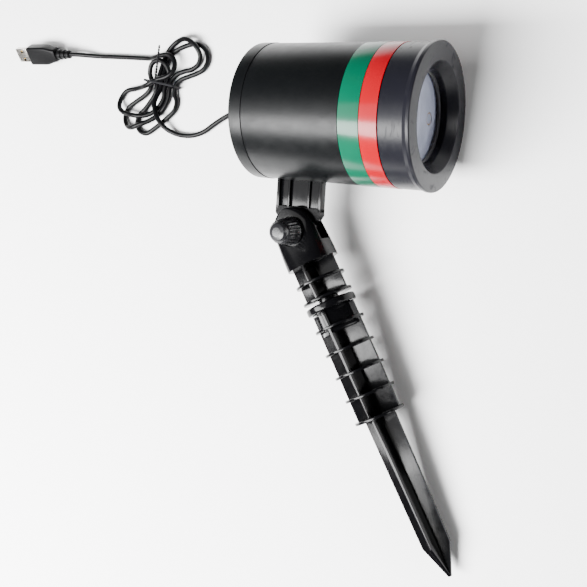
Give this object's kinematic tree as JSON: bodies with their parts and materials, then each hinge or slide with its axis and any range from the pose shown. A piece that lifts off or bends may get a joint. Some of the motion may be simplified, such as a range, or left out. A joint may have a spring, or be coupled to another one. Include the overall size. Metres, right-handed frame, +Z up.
{
  "type": "light projector stake",
  "caption": "Round laser light projector on a hinged ground spike with finned sections, a thumb knob, and a tied USB lead.",
  "frame": {"origin": "centre of the bounding box of the lamp and stake, on the ground it lies on", "axes": "+X along the length of the object from the spike tip to the lamp, +Y from the lens to the rear cover, +Z up as it lies on its side"},
  "size_m": [0.3433, 0.4438, 0.09],
  "materials": {
    "housing": "black, fine moulded grain",
    "rear": "black, fine moulded grain",
    "bezel": "satin grey-black",
    "green_film": "glossy green film",
    "red_film": "glossy red film",
    "glass": "clear, polished",
    "plate": "light grey, satin",
    "inner_plastic": "black",
    "soft_grey": "dark grey, soft",
    "brass": "turned",
    "aluminium": "milled",
    "steel": "zinc plated",
    "board": "green solder mask",
    "stake": "glossy black",
    "knob": "satin dark grey",
    "pvc": "black, satin",
    "cord": "black, satin",
    "tie": "black, dull",
    "nickel": "satin nickel"
  },
  "bodies": {
    "lamp": {"housing": "housing", "rear_cover": "rear", "front_bezel": "bezel", "green_band": "green_film", "red_band": "red_film", "window_glass": "glass", "aperture_plate": "plate", "lens_retainer": "inner_plastic", "lens_gasket": "soft_grey", "switch_body": "inner_plastic", "green_laser_module": "brass", "red_laser_module": "brass", "laser_holder": "aluminium", "circuit_board": "board", "board_capacitor": "steel", "bracket": "stake", "cord_gland": "pvc", "holder_screw_1": "steel", "holder_screw_2": "steel", "holder_screw_3": "steel", "board_screw_1": "steel", "board_screw_2": "steel", "board_screw_3": "steel", "board_screw_4": "steel", "rear_screw_1": "steel", "rear_screw_2": "steel", "rear_screw_3": "steel", "rear_screw_4": "steel", "bracket_screw_1": "steel", "bracket_screw_2": "steel", "bracket_screw_3": "steel", "bracket_screw_4": "steel", "usb_cord": "cord", "cord_tie": "tie", "tie_twist": "tie", "usb_strain_relief": "pvc", "usb_overmould": "pvc", "usb_shell": "nickel", "usb_contacts": "inner_plastic"},
    "button": {"push_button": "soft_grey"},
    "stake": {"stake_head": "stake", "latch_collar": "stake", "hex_nut": "steel", "clamp_washer": "steel"},
    "spike": {"stake_spike": "stake"},
    "thumbscrew": {"thumb_knob": "knob", "clamp_bolt": "steel"}
  },
  "joints": [
    {"name": "stake_tilt", "type": "hinge", "parent": "lamp", "child": "stake", "pos_m": [0.04236, 0.0411, 0.03494], "axis": [-0.131, 0, 0.9914], "range_deg": [-91.5, 28.5]},
    {"name": "spike_release", "type": "slide", "parent": "stake", "child": "spike", "axis": [-0.8453, -0.5225, -0.1117], "range_m": [0, 0.03]},
    {"name": "knob_turn", "type": "hinge", "parent": "stake", "child": "thumbscrew", "pos_m": [0.04236, 0.0411, 0.03494], "axis": [-0.131, 0, 0.9914], "range_deg": [0, 720]},
    {"name": "push_button", "type": "slide", "parent": "lamp", "child": "button", "axis": [0, -1, 0], "range_m": [0, 0.0015], "stiffness_N_per_m": 600}
  ]
}
